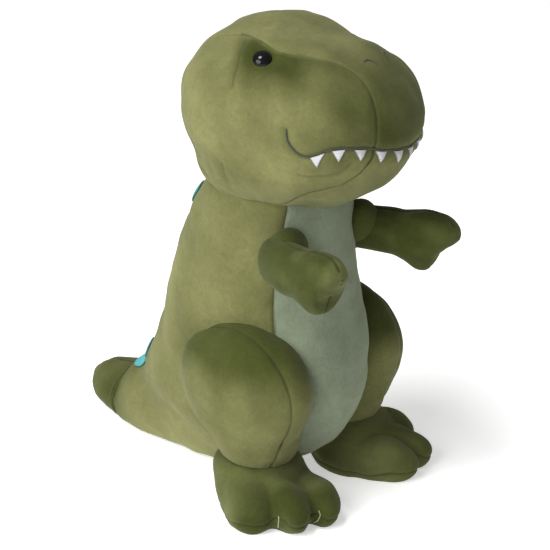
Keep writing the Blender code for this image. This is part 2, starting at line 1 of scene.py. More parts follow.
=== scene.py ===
"""Velour dinosaur: sewn skins with seams, puckers and pile, laid over the jointed CAD frame."""

import math

import bpy
import numpy as np
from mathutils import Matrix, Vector
from mathutils.kdtree import KDTree


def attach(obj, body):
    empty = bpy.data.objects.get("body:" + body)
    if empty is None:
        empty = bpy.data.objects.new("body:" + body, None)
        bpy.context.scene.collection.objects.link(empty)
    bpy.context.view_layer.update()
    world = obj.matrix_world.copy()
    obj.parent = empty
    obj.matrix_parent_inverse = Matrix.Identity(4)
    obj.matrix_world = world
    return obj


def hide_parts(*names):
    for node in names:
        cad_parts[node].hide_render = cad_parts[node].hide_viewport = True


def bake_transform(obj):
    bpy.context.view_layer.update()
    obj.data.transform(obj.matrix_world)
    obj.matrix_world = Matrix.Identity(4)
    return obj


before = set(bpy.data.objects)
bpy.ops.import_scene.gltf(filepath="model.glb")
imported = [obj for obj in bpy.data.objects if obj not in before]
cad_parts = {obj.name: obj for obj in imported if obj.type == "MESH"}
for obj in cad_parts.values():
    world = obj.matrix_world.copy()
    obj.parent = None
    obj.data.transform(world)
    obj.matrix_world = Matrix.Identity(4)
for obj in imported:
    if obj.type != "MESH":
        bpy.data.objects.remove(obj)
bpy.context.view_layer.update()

# ---------------------------------------------------------------- the CAD's forms, millimetres
MM = 0.001
FORWARD = 27.9          # the forms' Y is measured from the neck
HEAD_CENTRE = (0, -14, 198)
HEAD_SHAPES = [
    ((0, 3, 201), (52, 41, 38.5)),          # skull
    ((0, -30.5, 197.5), (42, 42, 35.2)),    # muzzle
    ((0, -17, 179), (44.5, 43, 26)),        # cheeks and jaw
    ((0, 1, 168), (37, 37, 20)),            # neck
]
HEAD_BLEND = 7.0
HEAD_TURN = 8.0         # the head looks this many degrees to the toy's left
GUSSET = [(-80, 38), (-60, 43.5), (-48, 43), (-37, 37), (-29, 30.5), (-21, 26), (-12, 23.5), (0, 22.5),
          (15, 21), (28, 21), (43, 25), (55, 29.5), (66, 33.5), (76, 37.5), (88, 39), (97, 36.5),
          (107, 33), (120, 29), (140, 23.5), (160, 22.5), (185, 26), (210, 32), (240, 38)]
EYE_SPOT = (95, 47)     # angles over and across the head
EYE_RADIUS = 4.6
EYE_HEIGHT = 2.7
EYE_DEPTH = 1.5
MOUTH = [(8, 68), (-1, 68), (-9, 67), (-16, 64), (-20, 59), (-18.5, 54), (-14, 50), (-10, 46), (-7.5, 40),
         (-7, 33), (-7, 28), (-8, 22), (-9, 14), (-9.5, 7), (-10, 0)]
TOOTH_ANGLES = [-49, -39.5, -29.2, -19, -9.4, 0, 9.4, 19, 29.2, 39.5, 49]
TOOTH_STRETCH = 1.03     # the satin teeth sit a little further round than the CAD's
TOOTH_WIDTH = 5.8
TOOTH_HEIGHT = 5.9
NOSTRIL = [(37.5, 11), (38, 8.5), (36, 6.3), (32.5, 5.8)]
DARTS = [[(113, 36), (113, 44), (113, 51), (115, 59), (117, 65)], [(229, 61), (235, 56), (241, 51)]]
CHIN_FOLD = [(-16, 33), (-24, 37), (-31, 45), (-38, 55)]

NECK_ROWS = [(-16, 165, 20, 165, 15), (-27, 163, 31, 163, 28), (-31.8, 159.4, 36, 159.4, 33)]
BODY_STATIONS = NECK_ROWS + [
    (-33.8, 153.8, 38.5, 153.8, 34.8),
    (-35, 138, 45, 143, 37.2),
    (-37.5, 118, 54, 124, 41),
    (-41.5, 96, 62, 100, 44),
    (-47, 74, 68, 78, 46),
    (-46.5, 52, 75, 62, 46),
    (-37, 31, 81, 50, 43),
    (-18, 13, 86, 43, 35),
    (14, 0, 90, 38.5, 30),
    (50, -2.5, 95, 35, 29),
    (80, -3, 98, 32, 26),
    (100, -2.5, 101, 29.5, 22.5),
    (113, -0.5, 113.5, 27, 18.5),
    (123, 3.5, 123.5, 24.5, 13.5),
    (130, 9, 130.5, 20, 7),
    (132.5, 13, 132.5, 17, 1),
]
NECK = len(NECK_ROWS)   # the CAD's station 0
BELLY_WIDTH = [(0, 42), (2, 47), (3, 48), (4, 46), (5, 40), (6, 33), (7, 30), (8, 32), (10, 38), (11, 42)]
BELLY_END = 6.64
TAIL_SEAM = 11.08
SPOTS = [(0.75, -156, 5.5), (1.9, 163, 6.5), (2.9, -174, 6.5), (3.9, 163, 6), (5.0, -174, 6),
         (6.1, -160, 6), (8.0, -160, 5)]

SHOULDER = (36, -33.5, 131.7)
ARM_SPREAD = 10.4
ARM_DROOP = (0, 5)       # right, left
ARM_RAISE = 50          # a loft stays above 0, so the arm's sections are raised while it's made
ARM_STATIONS = [
    (-11.5, -1.5, -11.5, 1.5, 1.5),
    (-9, -7.5, -9, 7, 7),
    (-4, -11, -4, 9.8, 10),
    (4, -12.2, 4, 10.3, 10.8),
    (12, -12.4, 12, 10.8, 10.8),
    (19, -14, 20, 12.8, 11),
    (25, -16.3, 28, 14.3, 11),
    (30, -14.5, 34.5, 14, 10),
    (33, -8, 39, 12, 8.5),
    (36.5, -2.5, 42.5, 8, 6),
    (41, 1.5, 43.5, 5, 2),
]
THIGH_CENTRE = (35, -9, 50)
THIGH_SHAPES = [((36, -8.5, 63), (23, 38, 33.5)), ((33, -14, 38), (20, 21, 24))]
THIGH_SEAM = 12.0
FORM_BLEND = 8.0
LAST_RING = 89.2        # a skin's last ring stops this many degrees from its middle, short of the pole
POLES = np.array([(0, 0, -1.0), (0, 0, 1.0)])
LEG_END = 25.6          # the ankle's seam; the foot goes a little way up inside it
FOOT_END = 26.4
ANKLE_PIVOT = (33, -14, 26.1)
FOOT_SPLAY = 28.0
FOOT_CENTRE = (30, -28, 6)
FOOT_SHAPES = [
    ((30.5, -23, 6), (24.5, 25, 16.5)),     # instep and heel
    ((33, -14, 15), (21, 18.5, 16)),        # ankle
    ((12.5, -41, 8.5), (10.5, 18, 12)),     # inner toe
    ((28.5, -43.5, 8.5), (11, 18.5, 12.5)), # middle toe
    ((45.5, -35.5, 8.5), (11.5, 16, 12)),   # outer toe
]
TOE_VALLEYS = [19.8, 37.2]
CLOTH_CELL = 5.0        # size of the cloth simulation's mesh
CLOTH_FRAMES = 20
CLOTH_LIMIT = 2.5       # furthest that the simulation may move a point
HELD = 1.5              # skin points this near a sewn line hold the simulation there


def smooth_curve(points, at):
    """Catmull-Rom curve through the rows of points, at the row positions given."""
    rows = np.array(points, float)
    padded = np.vstack([2 * rows[0] - rows[1], rows, 2 * rows[-1] - rows[-2]])
    at = np.clip(np.asarray(at, float), 0, len(rows) - 1)
    index = np.minimum(at.astype(int), len(rows) - 2)
    t = (at - index)[:, None]
    a, b, c, d = (padded[index + k] for k in range(4))
    return 0.5 * (2 * b + (c - a) * t + (2 * a - 5 * b + 4 * c - d) * t**2 + (3 * b - a - 3 * c + d) * t**3)


def through(pairs, x):
    """Smooth value at x of a curve through (x, value) pairs."""
    known = np.array(pairs, float)
    rows = np.interp(x, known[:, 0], np.arange(len(known)))
    return smooth_curve(known[:, 1:2], rows)[:, 0]


def mirrored(point, side):
    """A point of the toy's left side (1), or the same one on its right (-1)."""
    return (side * point[0], point[1], point[2])


def about_z(degrees):
    """Matrix that turns row points about Z, counter-clockwise seen from above."""
    turn = math.radians(degrees)
    level, side = math.cos(turn), math.sin(turn)
    return np.array([[level, side, 0], [-side, level, 0], [0, 0, 1]])


def unit(vectors):
    return vectors / np.linalg.norm(vectors, axis=-1, keepdims=True)


def smoothstep(low, high, x):
    t = np.clip((x - low) / (high - low), 0, 1)
    return t * t * (3 - 2 * t)


class Form:
    """A smooth union of ellipsoids, met by a ray from its centre in every direction."""

    def __init__(self, centre, shapes, blend, side=1):
        self.centre = np.array(mirrored(centre, side), float)
        self.shapes = [(np.array(mirrored(c, side), float), np.array(r, float)) for c, r in shapes]
        self.blend = blend

    def point(self, directions):
        """Where rays from the centre in these directions leave the form."""
        near, far = np.zeros(len(directions)), np.full(len(directions), 200.0)
        for _ in range(32):
            middle = (near + far) / 2
            points, total = self.centre + directions * middle[:, None], 0
            for centre, radii in self.shapes:
                size = np.sqrt((((points - centre) / radii) ** 2).sum(1))
                total = total + np.exp(-self.blend * (size - 1))
            near, far = np.where(total > 1, middle, near), np.where(total > 1, far, middle)
        return self.centre + directions * near[:, None]


def direction_round(turn, rise):
    """Unit vectors from angles in radians round Z and up from level."""
    return np.stack([np.cos(rise) * np.cos(turn), np.cos(rise) * np.sin(turn), np.sin(rise)], -1)


def ball_directions(heights, around):
    """Rings of directions at these heights in degrees, each with this many round Z."""
    turn = np.radians(np.tile(np.arange(around) * 360 / around, len(heights)))
    return direction_round(turn, np.radians(np.repeat(heights, around)))


def direction_over(over, across):
    """Unit vectors from an angle over the top (0 forwards, 90 up) and an angle towards +X."""
    a, b = np.broadcast_arrays(np.radians(over), np.radians(across))
    return np.stack([np.sin(b), -np.cos(b) * np.cos(a), np.cos(b) * np.sin(a)], -1)


def loft_point(stations, at, angle, lift=0.0):
    """Points of a loft, by station and angle round the section, 0 at the front or lower side."""
    rows = smooth_curve(stations, at)
    middle, half = (rows[:, 0:2] + rows[:, 2:4]) / 2, (rows[:, 0:2] - rows[:, 2:4]) / 2
    grow_y = 1 + lift / np.maximum(np.linalg.norm(half, axis=1), 0.1)
    grow_x = 1 + lift / np.maximum(rows[:, 4], 0.1)
    a = np.radians(angle)
    yz = middle + half * (grow_y * np.cos(a))[:, None]
    return np.stack([rows[:, 4] * grow_x * np.sin(a), yz[:, 0], np.maximum(yz[:, 1], 0)], -1)


HEAD = Form(HEAD_CENTRE, HEAD_SHAPES, HEAD_BLEND)


def turned_head(points):
    """The head's points, turned about the neck."""
    return np.asarray(points, float) @ about_z(HEAD_TURN)


HEAD_MIDDLE = turned_head(HEAD_CENTRE)


def head_point(over, across):
    """Points of the turned head at angles over and across it, in degrees."""
    over, across = np.broadcast_arrays(np.atleast_1d(over), np.atleast_1d(across))
    return turned_head(HEAD.point(direction_over(over, across)))


def head_route(pairs, count):
    """Points on the head along a smooth route of (over, across) pairs."""
    line = smooth_curve(pairs, np.linspace(0, len(pairs) - 1, count))
    return head_point(line[:, 0], line[:, 1])


def body_point(at, angle, lift=0.0):
    """A point of the body or tail, at the CAD's own station number."""
    return loft_point(BODY_STATIONS, np.asarray(at, float) + NECK, angle, lift)


# ---------------------------------------------------------------- skins
def waves(points, size, seed):
    """Smooth noise of about unit height from waves in seeded directions; size is a wavelength."""
    draw = np.random.default_rng(seed)
    directions = draw.normal(size=(14, 3))
    lengths = np.linalg.norm(directions, axis=1)[:, None]
    directions *= (2 * np.pi / size * draw.uniform(0.6, 1.5, (14, 1))) / lengths
    return np.sin(points @ directions.T + draw.uniform(0, 6.28, 14)).sum(1) / math.sqrt(7)


def distance_to(points, line):
    """Distance in millimetres from each point to a polyline."""
    line = np.asarray(line, float)
    best = np.full(len(points), 1e9)
    for a, b in zip(line, line[1:]):
        ab = b - a
        t = np.clip(((points - a) @ ab) / max(ab @ ab, 1e-9), 0, 1)
        best = np.minimum(best, np.linalg.norm(points - (a + t[:, None] * ab), axis=1))
    return best


def swell(mesh_points, faces, seams):
    """Moves a coarse cloth copy by its filling's pressure: (places, movement) in millimetres."""
    scene = bpy.context.scene
    mesh = bpy.data.meshes.new("coarse")
    mesh.from_pydata((mesh_points * MM).tolist(), [], faces)
    obj = bpy.data.objects.new("coarse", mesh)
    scene.collection.objects.link(obj)
    coarse = obj.modifiers.new("coarse", "REMESH")
    coarse.mode, coarse.voxel_size = "VOXEL", CLOTH_CELL * MM
    bpy.context.view_layer.objects.active = obj
    bpy.ops.object.modifier_apply(modifier="coarse")
    places = np.array([v.co for v in obj.data.vertices]) / MM
    sewn = obj.vertex_groups.new(name="sewn")
    tree = KDTree(len(seams))
    for number, point in enumerate(seams):
        tree.insert(point, number)
    tree.balance()
    for number, point in enumerate(places):
        if tree.find(point)[2] < CLOTH_CELL:
            sewn.add([number], 1.0, "REPLACE")
    cloth = obj.modifiers.new("cloth", "CLOTH")
    cloth.settings.use_pressure, cloth.settings.uniform_pressure_force = True, 4.0
    cloth.settings.effector_weights.gravity = 0
    cloth.settings.vertex_group_mass = "sewn"
    cloth.settings.tension_stiffness = cloth.settings.compression_stiffness = 30
    cloth.point_cache.frame_start, cloth.point_cache.frame_end = 1, CLOTH_FRAMES
    for number in range(1, CLOTH_FRAMES + 1):
        scene.frame_set(number)
    bpy.ops.object.modifier_apply(modifier="cloth")
    moved = np.array([v.co for v in obj.data.vertices]) / MM - places
    scene.frame_set(1)
    bpy.data.objects.remove(obj)
    far = np.linalg.norm(moved, axis=1)[:, None]
    return places, moved * np.minimum(1, CLOTH_LIMIT / np.maximum(far, 1e-6))


class Skin:
    """A closed sewn skin: rings of points that go all the way round, and a point at either end."""

    def __init__(self, rings, around, points, ends):
        self.rings, self.around = rings, around
        self.points = np.vstack([points, ends])
        ring, spoke = np.meshgrid(np.arange(rings - 1), np.arange(around), indexing="ij")
        a, b = ring * around + spoke, ring * around + (spoke + 1) % around
        self.quads = np.stack([a, b, b + around, a + around], -1).reshape(-1, 4)
        spoke = np.arange(around)
        low, high = rings * around, rings * around + 1
        last, onward = (rings - 1) * around, (spoke + 1) % around
        self.caps = np.vstack([np.stack([onward, spoke, np.full(around, low)], -1),
                               np.stack([last + spoke, last + onward, np.full(around, high)], -1)])
        outward = self.points[:-2] - self.points[:-2].mean(0)
        if (self.normals()[:-2] * outward).sum() < 0:
            self.quads, self.caps = self.quads[:, ::-1], self.caps[:, ::-1]
        self.seam, self.tone = np.zeros(len(self.points)), np.full(len(self.points), 0.35)
        self.rest = self.points.copy()

    def faces(self):
        """The rings' quads, then the ends' triangles."""
        return self.quads.tolist() + self.caps.tolist()

    def normals(self):
        """Unit normal of every point."""
        p, q, c = self.points, self.quads, self.caps
        total = np.zeros_like(p)
        flat = np.cross(p[q[:, 2]] - p[q[:, 0]], p[q[:, 3]] - p[q[:, 1]])
        for k in range(4):
            np.add.at(total, q[:, k], flat)
        flat = np.cross(p[c[:, 1]] - p[c[:, 0]], p[c[:, 2]] - p[c[:, 0]])
        for k in range(3):
            np.add.at(total, c[:, k], flat)
        return total / np.maximum(np.linalg.norm(total, axis=1), 1e-9)[:, None]

    def push(self, amount):
        """Moves every point along its normal by an amount in millimetres."""
        self.points = self.points + self.normals() * np.asarray(amount)[:, None]

    def groove(self, distance, depth=0.6, width=0.85, dark=0.75, puff=0.3):
        """Sinks a sewn line at this distance, with small gathers and a soft swell on both sides."""
        line = np.exp(-(np.abs(distance) / width) ** 1.6)
        gathers = waves(self.rest, 7.5, 5) * np.exp(-np.abs(distance) / 4.0) * 0.14 * depth
        beside = puff * np.exp(-((np.abs(distance) - 5.0) / 3.6) ** 2)
        self.push(-depth * line + gathers + beside)
        # The sewn line is darkened: partly the seam's own darker join, partly painted shade in its groove.
        self.seam = np.maximum(self.seam, dark * np.exp(-(np.abs(distance) / (0.6 * width)) ** 2))

    def inflate(self, sewn):
        """Follows a cloth simulation of the skin, held along the sewn lines' points."""
        places, moved = swell(self.points, self.faces(), sewn)
        tree = KDTree(len(places))
        for number, place in enumerate(places):
            tree.insert(place, number)
        tree.balance()
        follow = np.zeros_like(self.points)
        for number, point in enumerate(self.points):
            found = tree.find_n(point, 6)
            weight = np.array([1 / (distance + 1.0) ** 2 for _, _, distance in found])
            nearest = moved[[index for _, index, _ in found]]
            follow[number] = (nearest * weight[:, None]).sum(0) / weight.sum()
        self.points = self.points + follow
        print("cloth moved", np.abs(follow).max().round(2), "mm")

    def soften(self, seed, height=0.55):
        """The uneven filling of a stuffed toy."""
        lumps = height * waves(self.rest, 34, seed)
        self.push(lumps + 0.3 * height * waves(self.rest, 14, seed + 1))

    def build(self, name, material, body, replaced, zones=None):
        """Makes the object, attaches it to the body that it rides on (a piece spanning two bodies only has
        its transform baked), and hides the parts that it replaces.
        """
        points = self.points.copy()
        points[:, 2] = np.maximum(points[:, 2], 0)
        mesh = bpy.data.meshes.new(name)
        mesh.from_pydata(((points - (0, FORWARD, 0)) * MM).tolist(), [], self.faces())
        mesh.shade_smooth()
        for key, values in (("seam", self.seam), ("tone", self.tone)):
            made = mesh.attributes.new(key, "FLOAT", "POINT")
            made.data.foreach_set("value", np.clip(values, 0, 1).astype(np.float32))
        for one in material if isinstance(material, list) else [material]:
            mesh.materials.append(one)
        if zones is not None:
            index = np.concatenate([zones(self.quads), np.zeros(len(self.caps), int)])
            mesh.polygons.foreach_set("material_index", index.astype(np.int32))
        obj = bpy.data.objects.new(name, mesh)
        bpy.context.scene.collection.objects.link(obj)
        if isinstance(body, tuple):
            first, second, start, end = body
            to_row(start)
            to_row(end)
            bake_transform(obj)
        else:
            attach(obj, body)
        if replaced:
            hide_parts(*replaced)
        return obj


def to_row(point):
    """A point of the forms in the frame's metres."""
    return (point[0] * MM, (point[1] - FORWARD) * MM, point[2] * MM)


def near_ends(count):
    """From 0 to 1, closer together at both ends."""
    return (1 - np.cos(np.linspace(0, np.pi, count))) / 2


# ---------------------------------------------------------------- materials
def node(tree, kind, **settings):
    """A new shader node, with its sockets and settings given by name."""
    made = tree.nodes.new(kind)
    for key, value in settings.items():
        if key in made.inputs:
            made.inputs[key].default_value = value
        else:
            setattr(made, key, value)
    return made


def ramp(tree, source, stops):
    """The colour of a ramp with these (position, colour) stops, fed by the source."""
    made = tree.nodes.new("ShaderNodeValToRGB")
    while len(made.color_ramp.elements) < len(stops):
        made.color_ramp.elements.new(0.5)
    for element, (position, colour) in zip(made.color_ramp.elements, stops):
        element.position, element.color = position, (*colour, 1)
    tree.links.new(source, made.inputs["Fac"])
    return made.outputs["Color"]


def mix(tree, factor, a, b, kind="MIX"):
    """The colour of two mixed; each of factor, a and b is a socket or a value."""
    made = tree.nodes.new("ShaderNodeMix")
    made.data_type, made.blend_type = "RGBA", kind
    for socket, value in ((made.inputs[0], factor), (made.inputs[6], a), (made.inputs[7], b)):
        if isinstance(value, bpy.types.NodeSocket):
            tree.links.new(value, socket)
        else:
            socket.default_value = value
    return made.outputs[2]


def velour(name, light, dark, seam_colour, sheen=0.18, grain=0.4):
    """Short brushed pile with a fine grain and shadowed seams; a per-point attribute blends it towards the
    dark colour for painted shade, with some random tone.
    """
    material = bpy.data.materials.new(name)
    material.use_nodes = True
    tree = material.node_tree
    shader = tree.nodes["Principled BSDF"]
    where = tree.nodes.new("ShaderNodeTexCoord").outputs["Object"]
    noises = {}
    for key, scale, detail, warp in (("wide", 30, 3, 0.4), ("brushed", 150, 4, 1.0), ("tuft", 600, 3, 0.4),
                                     ("pile", 2300, 2, 0.0)):
        made = node(tree, "ShaderNodeTexNoise", Scale=scale, Detail=detail, Roughness=0.6, Distortion=warp)
        tree.links.new(where, made.inputs["Vector"])
        noises[key] = made.outputs["Fac"]
    # Painted shade: this attribute blends towards the dark colour; only its waves are random tone.
    tone = node(tree, "ShaderNodeAttribute", attribute_name="tone")
    colour = mix(tree, tone.outputs["Fac"], (*light, 1), (*dark, 1))
    for key, low, high in (("wide", 0.90, 1.10), ("brushed", 0.91, 1.09), ("tuft", 0.93, 1.06),
                           ("pile", 1 - 0.36 * grain, 1 + 0.30 * grain)):
        shade = ramp(tree, noises[key], [(0.29, (low,) * 3), (0.71, (high,) * 3)])
        colour = mix(tree, 1.0, colour, shade, "MULTIPLY")
    seam = node(tree, "ShaderNodeAttribute", attribute_name="seam")
    colour = mix(tree, seam.outputs["Fac"], colour, (*seam_colour, 1))
    tree.links.new(colour, shader.inputs["Base Color"])
    height = node(tree, "ShaderNodeMix")
    height.inputs[0].default_value = 0.6
    tree.links.new(noises["tuft"], height.inputs[2])
    tree.links.new(noises["pile"], height.inputs[3])
    bump = node(tree, "ShaderNodeBump", Strength=0.45, Distance=0.0005)
    tree.links.new(height.outputs[0], bump.inputs["Height"])
    soft = node(tree, "ShaderNodeBump", Strength=0.25, Distance=0.001)
    tree.links.new(noises["brushed"], soft.inputs["Height"])
    tree.links.new(bump.outputs["Normal"], soft.inputs["Normal"])
    tree.links.new(soft.outputs["Normal"], shader.inputs["Normal"])
    shader.inputs["Roughness"].default_value = 0.95
    shader.inputs["Specular IOR Level"].default_value = 0.08
    shader.inputs["Sheen Weight"].default_value = sheen
    shader.inputs["Sheen Roughness"].default_value = 0.5
    shader.inputs["Sheen Tint"].default_value = (0.66, 0.66, 0.44, 1)
    return material


def thread(name, dark, light, shine, scale=900):
    """Twisted embroidery thread."""
    material = bpy.data.materials.new(name)
    material.use_nodes = True
    tree = material.node_tree
    shader = tree.nodes["Principled BSDF"]
    where = tree.nodes.new("ShaderNodeTexCoord").outputs["Object"]
    wave = node(tree, "ShaderNodeTexWave", Scale=scale, Distortion=3.0, Detail=2.0,
                bands_direction="DIAGONAL")
    tree.links.new(where, wave.inputs["Vector"])
    colour = ramp(tree, wave.outputs["Fac"], [(0.25, dark), (0.75, light)])
    tree.links.new(colour, shader.inputs["Base Color"])
    bump = node(tree, "ShaderNodeBump", Strength=0.6, Distance=0.0003)
    tree.links.new(wave.outputs["Fac"], bump.inputs["Height"])
    tree.links.new(bump.outputs["Normal"], shader.inputs["Normal"])
    shader.inputs["Roughness"].default_value = shine
    shader.inputs["Sheen Weight"].default_value = 0.2
    return material


def moulded(name, colour, roughness, specular=0.5):
    """Plastic with the faint unevenness of a moulding."""
    material = bpy.data.materials.new(name)
    material.use_nodes = True
    tree = material.node_tree
    shader = tree.nodes["Principled BSDF"]
    where = tree.nodes.new("ShaderNodeTexCoord").outputs["Object"]
    noise = node(tree, "ShaderNodeTexNoise", Scale=400.0, Detail=2.0)
    tree.links.new(where, noise.inputs["Vector"])
    lighter = tuple(min(1, c * 1.5 + 0.002) for c in colour)
    mottled = ramp(tree, noise.outputs["Fac"], [(0.3, colour), (0.7, lighter)])
    tree.links.new(mottled, shader.inputs["Base Color"])
    bump = node(tree, "ShaderNodeBump", Strength=0.05, Distance=0.0002)
    tree.links.new(noise.outputs["Fac"], bump.inputs["Height"])
    tree.links.new(bump.outputs["Normal"], shader.inputs["Normal"])
    shader.inputs["Roughness"].default_value = roughness
    shader.inputs["Specular IOR Level"].default_value = specular
    return material


GREEN = velour("velour_green",
               (0.180, 0.180, 0.073), (0.043, 0.051, 0.011), (0.030, 0.034, 0.011))
# A darker copy of the same green velour, used on the arms and feet: painted shade.
GREEN_SHADED = velour("velour_green_painted_shade",
              (0.140, 0.148, 0.055), (0.038, 0.047, 0.010), (0.022, 0.026, 0.008))
PALE = velour("velour_pale",
              (0.205, 0.240, 0.170), (0.150, 0.180, 0.115), (0.07, 0.08, 0.05), grain=0.3)
TEAL = velour("velour_teal", (0.070, 0.31, 0.34), (0.05, 0.23, 0.26), (0.03, 0.12, 0.12))
TOOTH = thread("satin_white", (0.36, 0.36, 0.37), (0.60, 0.60, 0.61), 0.5)
TOOTH_EDGE = thread("satin_grey", (0.10, 0.10, 0.10), (0.24, 0.24, 0.24), 0.6)
MOUTH_THREAD = thread("thread_dark", (0.016, 0.019, 0.008), (0.045, 0.050, 0.024), 0.8)
LIGHT_THREAD = thread("thread_light", (0.22, 0.26, 0.10), (0.40, 0.45, 0.22), 0.6)
EYE = moulded("eye_black", (0.0025, 0.0023, 0.0025), 0.1, specular=0.22)
WASHER = moulded("washer_plastic", (0.72, 0.72, 0.69), 0.45)
CLOTH = thread("pouch_cotton", (0.58, 0.55, 0.48), (0.74, 0.71, 0.64), 0.9, scale=600)


# ---------------------------------------------------------------- head
def head_skin():
    """The head's three panels as one skin, with its seams, darts, brow and eye hollows."""
    over = np.linspace(-120, 240, 300, endpoint=False)
    width = through(GUSSET, over)
    side = 1 - np.cos(np.linspace(0, np.pi / 2, 62))
    middle = np.sin(np.linspace(-np.pi / 2, np.pi / 2, 56))
    shares = np.concatenate([-1 - side[:0:-1], middle, 1 + side[1:]])
    rows = []
    for share in shares:
        reach = np.where(abs(share) <= 1, share * width,
                         np.sign(share) * (width + (abs(share) - 1) * (LAST_RING - width)))
        rows.append(np.stack([over, reach], -1))
    angles = np.vstack(rows)
    ends = head_point([0, 0], [-90, 90])
    skin = Skin(len(shares), len(over), head_point(angles[:, 0], angles[:, 1]), ends)
    p = skin.rest
    across = np.concatenate([angles[:, 1], [-90, 90]])
    overs = np.concatenate([angles[:, 0], [0, 0]])
    radius = np.linalg.norm(p - HEAD_MIDDLE, axis=1)
    edge = (np.abs(across) - through(GUSSET, overs)) * np.radians(1) * radius
    skin.inflate(p[np.abs(edge) < HELD][::4])
    brow = np.exp(-((overs - 82) / 26) ** 2)
    ridge, hollow = np.exp(-((edge + 5.5) / 5.0) ** 2), np.exp(-((edge - 4.0) / 4.5) ** 2)
    skin.push(brow * (0.5 * ridge - 0.8 * hollow))
    skin.groove(edge, depth=0.6, width=0.75, dark=0.2 + 0.4 * smoothstep(60, 30, overs), puff=0.2)
    for sign in (-1, 1):
        eye = head_point(EYE_SPOT[0], sign * EYE_SPOT[1])[0]
        away = np.linalg.norm(p - eye, axis=1)
        skin.push(-1.5 * np.exp(-(away / 7.0) ** 2) + 0.35 * np.exp(-((away - 9.5) / 3.0) ** 2))
        for number, dart in enumerate(DARTS):
            line = head_route([(a, sign * b) for a, b in dart], 24)
            away = distance_to(p, line)
            skin.push(-0.6 * np.exp(-(away / 2.0) ** 2) + 0.25 * np.exp(-((away - 5) / 3) ** 2))
            skin.seam = np.maximum(skin.seam, (0.5, 0.35)[number] * np.exp(-(away / 0.6) ** 2))
        away = distance_to(p, head_route([(a, sign * b) for a, b in CHIN_FOLD], 20))
        skin.push(-0.4 * np.exp(-(away / 1.5) ** 2) + 0.2 * np.exp(-((away - 4) / 2.5) ** 2))
        # Painted shade in the chin's fold.
        skin.seam = np.maximum(skin.seam, 0.35 * np.exp(-(away / 0.6) ** 2))
    lips = mouth_line(90)
    away = distance_to(p, lips)
    lip_height = np.interp(np.abs(p[:, 0]), [0, 20, 44], [lips[45, 2], lips[33, 2], lips[20, 2]])
    full = np.where(p[:, 2] < lip_height, 1, 0.6)
    skin.push(-0.8 * np.exp(-(away / 1.5) ** 2) + 0.55 * np.exp(-((away - 4.5) / 3.0) ** 2) * full)
    # Painted shade along the mouth's groove, beside the thread.
    skin.seam = np.maximum(skin.seam, 0.35 * np.exp(-(away / 1.0) ** 2))
    skin.soften(11, 0.5)
    out = (p - HEAD_MIDDLE) / radius[:, None]
    # Painted shade: darker on the cheek under the brow, partly from the pile's lean, and on the front of
    # the snout; the waves add random tone.
    cheek_shade = smoothstep(20, 60, overs) * smoothstep(122, 108, overs) * smoothstep(-1, 3, edge)
    cheek_shade = cheek_shade * smoothstep(74, 46, np.abs(across))
    snout_shade = smoothstep(0.55, 0.95, -out[:, 1]) * smoothstep(-14, 6, p[:, 2] - 190)
    skin.tone = 0.32 + 0.52 * cheek_shade + 0.50 * snout_shade + 0.08 * waves(p, 26, 3)
    # Painted shade in a patch below the eye, under the gusset's edge.
    for sign in (-1, 1):
        below_eye = head_point(EYE_SPOT[0] - 6, sign * (EYE_SPOT[1] + 6))[0]
        around_eye = np.linalg.norm(p - below_eye, axis=1)
        skin.tone = skin.tone + 0.25 * np.exp(-(around_eye / 11) ** 2) * (edge > 0)
    hidden = ["head_center_panel", "head_side_panel_right", "head_side_panel_left", "head_stuffing"]
    skin.build("head_skin", GREEN, "head", hidden)
    return skin


def mouth_route():
    """The mouth from corner to corner, as (over, across) pairs."""
    return MOUTH + [(over, -across) for over, across in reversed(MOUTH[:-1])]


def mouth_line(count):
    """The mouth as this many points on the head."""
    return head_route(mouth_route(), count)


def on_skin(skin, points, lift):
    """The points moved to the skin's surface beneath them, then lifted."""
    normals = skin.normals()
    placed = []
    for point in points:
        away = ((skin.points - point) ** 2).sum(1)
        near = np.argpartition(away, 6)[:6]
        weight = 1 / (away[near] + 0.05)
        normal = (normals[near] * weight[:, None]).sum(0)
        normal /= np.linalg.norm(normal)
        height = (((skin.points[near] - point) @ normal) * weight).sum() / weight.sum()
        placed.append(point + normal * (height + lift))
    return np.array(placed)


def strand(name, points, radius, material, body, replaced=(), taper=False):
    """A thread laid along points in millimetres."""
    curve = bpy.data.curves.new(name, "CURVE")
    curve.dimensions, curve.bevel_depth, curve.bevel_resolution = "3D", radius * MM, 3
    curve.use_fill_caps = True
    line = curve.splines.new("POLY")
    line.points.add(len(points) - 1)
    for number, (target, point) in enumerate(zip(line.points, points)):
        target.co = (*to_row(point), 1)
        if taper:
            along = min(1, 0.08 + number / (len(points) - 1))
            target.radius = 0.45 + 0.55 * math.sin(math.pi * along)
    line.use_smooth = True
    curve.materials.append(material)
    obj = bpy.data.objects.new(name, curve)
    bpy.context.scene.collection.objects.link(obj)
    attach(obj, body)
    if replaced:
        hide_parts(*replaced)
    return obj


